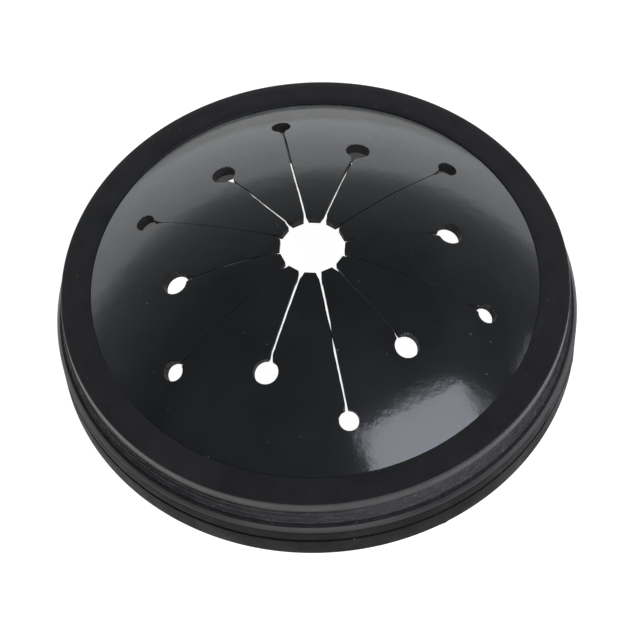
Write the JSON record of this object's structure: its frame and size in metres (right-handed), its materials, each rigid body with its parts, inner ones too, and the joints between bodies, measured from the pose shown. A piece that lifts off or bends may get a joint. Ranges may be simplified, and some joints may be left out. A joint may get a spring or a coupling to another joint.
{
  "type": "garbage disposer splash guard",
  "caption": "Round black rubber splash guard for a kitchen garbage disposer: a ridged sealing ring with a domed membrane slit into flaps that bend down to let waste through.",
  "frame": {"origin": "on the ring's centre line, in the plane of the flat bottom face of the skirt", "axes": "+Z along the centre line, from the bottom face towards the domed membrane and the sink; +X through a short slit and its inner relief hole; +Y through a long slit and its outer relief hole"},
  "size_m": [0.08, 0.08, 0.0218],
  "materials": {
    "rim_rubber": "satin black moulded rubber, finely ridged and slightly rough round the outside",
    "membrane_rubber": "smooth semi-gloss black moulded rubber with faint dust and release haze"
  },
  "bodies": {
    "rim_ring": {"rim_ring": "rim_rubber"},
    "petal_1": {"petal_1": "membrane_rubber"},
    "flap_1a": {"flap_1a": "membrane_rubber"},
    "flap_1b": {"flap_1b": "membrane_rubber"},
    "petal_2": {"petal_2": "membrane_rubber"},
    "flap_2a": {"flap_2a": "membrane_rubber"},
    "flap_2b": {"flap_2b": "membrane_rubber"},
    "petal_3": {"petal_3": "membrane_rubber"},
    "flap_3a": {"flap_3a": "membrane_rubber"},
    "flap_3b": {"flap_3b": "membrane_rubber"},
    "petal_4": {"petal_4": "membrane_rubber"},
    "flap_4a": {"flap_4a": "membrane_rubber"},
    "flap_4b": {"flap_4b": "membrane_rubber"},
    "petal_5": {"petal_5": "membrane_rubber"},
    "flap_5a": {"flap_5a": "membrane_rubber"},
    "flap_5b": {"flap_5b": "membrane_rubber"},
    "petal_6": {"petal_6": "membrane_rubber"},
    "flap_6a": {"flap_6a": "membrane_rubber"},
    "flap_6b": {"flap_6b": "membrane_rubber"}
  },
  "joints": [
    {"name": "petal_1_flex", "type": "hinge", "parent": "rim_ring", "child": "petal_1", "pos_m": [0.02298, 0, 0.01595], "axis": [0, -1, 0], "range_deg": [-10, 35], "stiffness_Nm_per_rad": 0.015},
    {"name": "flap_1a_flex", "type": "hinge", "parent": "petal_1", "child": "flap_1a", "pos_m": [0.01959, -0.00525, 0.01769], "axis": [-0.2588, -0.9659, 0], "range_deg": [-20, 55], "stiffness_Nm_per_rad": 0.004},
    {"name": "flap_1b_flex", "type": "hinge", "parent": "petal_1", "child": "flap_1b", "pos_m": [0.01959, 0.00525, 0.01769], "axis": [0.2588, -0.9659, 0], "range_deg": [-20, 55], "stiffness_Nm_per_rad": 0.004},
    {"name": "petal_2_flex", "type": "hinge", "parent": "rim_ring", "child": "petal_2", "pos_m": [0.01149, 0.0199, 0.01595], "axis": [0.866, -0.5, 0], "range_deg": [-10, 35], "stiffness_Nm_per_rad": 0.015},
    {"name": "flap_2a_flex", "type": "hinge", "parent": "petal_2", "child": "flap_2a", "pos_m": [0.01434, 0.01434, 0.01769], "axis": [0.7071, -0.7071, 0], "range_deg": [-20, 55], "stiffness_Nm_per_rad": 0.004},
    {"name": "flap_2b_flex", "type": "hinge", "parent": "petal_2", "child": "flap_2b", "pos_m": [0.00525, 0.01959, 0.01769], "axis": [0.9659, -0.2588, 0], "range_deg": [-20, 55], "stiffness_Nm_per_rad": 0.004},
    {"name": "petal_3_flex", "type": "hinge", "parent": "rim_ring", "child": "petal_3", "pos_m": [-0.01149, 0.0199, 0.01595], "axis": [0.866, 0.5, 0], "range_deg": [-10, 35], "stiffness_Nm_per_rad": 0.015},
    {"name": "flap_3a_flex", "type": "hinge", "parent": "petal_3", "child": "flap_3a", "pos_m": [-0.00525, 0.01959, 0.01769], "axis": [0.9659, 0.2588, 0], "range_deg": [-20, 55], "stiffness_Nm_per_rad": 0.004},
    {"name": "flap_3b_flex", "type": "hinge", "parent": "petal_3", "child": "flap_3b", "pos_m": [-0.01434, 0.01434, 0.01769], "axis": [0.7071, 0.7071, 0], "range_deg": [-20, 55], "stiffness_Nm_per_rad": 0.004},
    {"name": "petal_4_flex", "type": "hinge", "parent": "rim_ring", "child": "petal_4", "pos_m": [-0.02298, 0, 0.01595], "axis": [0, 1, 0], "range_deg": [-10, 35], "stiffness_Nm_per_rad": 0.015},
    {"name": "flap_4a_flex", "type": "hinge", "parent": "petal_4", "child": "flap_4a", "pos_m": [-0.01959, 0.00525, 0.01769], "axis": [0.2588, 0.9659, 0], "range_deg": [-20, 55], "stiffness_Nm_per_rad": 0.004},
    {"name": "flap_4b_flex", "type": "hinge", "parent": "petal_4", "child": "flap_4b", "pos_m": [-0.01959, -0.00525, 0.01769], "axis": [-0.2588, 0.9659, 0], "range_deg": [-20, 55], "stiffness_Nm_per_rad": 0.004},
    {"name": "petal_5_flex", "type": "hinge", "parent": "rim_ring", "child": "petal_5", "pos_m": [-0.01149, -0.0199, 0.01595], "axis": [-0.866, 0.5, 0], "range_deg": [-10, 35], "stiffness_Nm_per_rad": 0.015},
    {"name": "flap_5a_flex", "type": "hinge", "parent": "petal_5", "child": "flap_5a", "pos_m": [-0.01434, -0.01434, 0.01769], "axis": [-0.7071, 0.7071, 0], "range_deg": [-20, 55], "stiffness_Nm_per_rad": 0.004},
    {"name": "flap_5b_flex", "type": "hinge", "parent": "petal_5", "child": "flap_5b", "pos_m": [-0.00525, -0.01959, 0.01769], "axis": [-0.9659, 0.2588, 0], "range_deg": [-20, 55], "stiffness_Nm_per_rad": 0.004},
    {"name": "petal_6_flex", "type": "hinge", "parent": "rim_ring", "child": "petal_6", "pos_m": [0.01149, -0.0199, 0.01595], "axis": [-0.866, -0.5, 0], "range_deg": [-10, 35], "stiffness_Nm_per_rad": 0.015},
    {"name": "flap_6a_flex", "type": "hinge", "parent": "petal_6", "child": "flap_6a", "pos_m": [0.00525, -0.01959, 0.01769], "axis": [-0.9659, -0.2588, 0], "range_deg": [-20, 55], "stiffness_Nm_per_rad": 0.004},
    {"name": "flap_6b_flex", "type": "hinge", "parent": "petal_6", "child": "flap_6b", "pos_m": [0.01434, -0.01434, 0.01769], "axis": [-0.7071, -0.7071, 0], "range_deg": [-20, 55], "stiffness_Nm_per_rad": 0.004}
  ]
}
